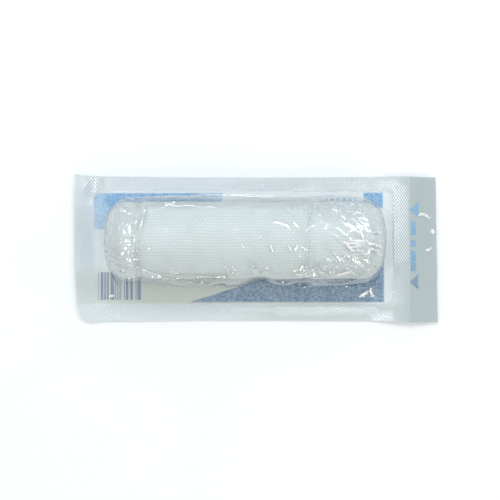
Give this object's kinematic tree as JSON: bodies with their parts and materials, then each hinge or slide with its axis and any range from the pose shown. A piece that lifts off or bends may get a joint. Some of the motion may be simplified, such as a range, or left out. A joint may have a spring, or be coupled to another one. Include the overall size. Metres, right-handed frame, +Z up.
{
  "type": "stretch gauze bandage roll in a clear peel pouch",
  "caption": "Wound roll of white stretch gauze bandage, sealed between a clear film and a printed paper sheet with a knurled seal and a peel tab.",
  "frame": {"origin": "middle of the pouch's outline, on the surface that it lies on", "axes": "+X along the roll towards the peel tab, +Y to the pouch's back edge, +Z up, from the paper to the film"},
  "size_m": [0.1374, 0.0556, 0.0289],
  "materials": {
    "gauze": "white stretch knit, matt",
    "film": "clear, slightly milky film with a knurled seal",
    "paper": "thin white paper, printed in blue on the far side"
  },
  "bodies": {
    "root": {"gauze_roll": "gauze", "clear_film": "film", "backing_paper": "paper"}
  },
  "joints": []
}
